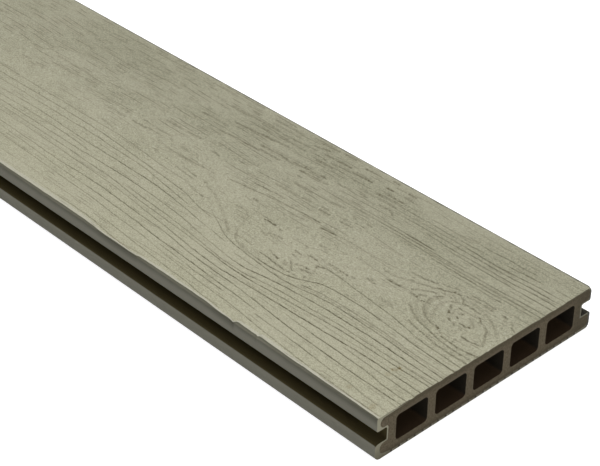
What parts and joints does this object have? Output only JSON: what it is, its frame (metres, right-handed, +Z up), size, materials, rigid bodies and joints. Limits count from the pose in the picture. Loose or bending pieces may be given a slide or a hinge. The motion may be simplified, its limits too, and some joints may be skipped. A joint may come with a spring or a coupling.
{
  "type": "decking board",
  "caption": "Hollow composite decking board with a wood-grained capped face and a clip groove along each edge.",
  "frame": {"origin": "middle of the board's underside", "axes": "+X along the board, +Y across its width, +Z up out of the grained face"},
  "size_m": [2.2, 0.14, 0.023],
  "materials": {
    "core": "saw-cut wood-filled plastic, dark brown",
    "cap": "matt embossed wood grain, grey-green sand"
  },
  "bodies": {
    "root": {"core": "core", "cap": "cap"}
  },
  "joints": []
}
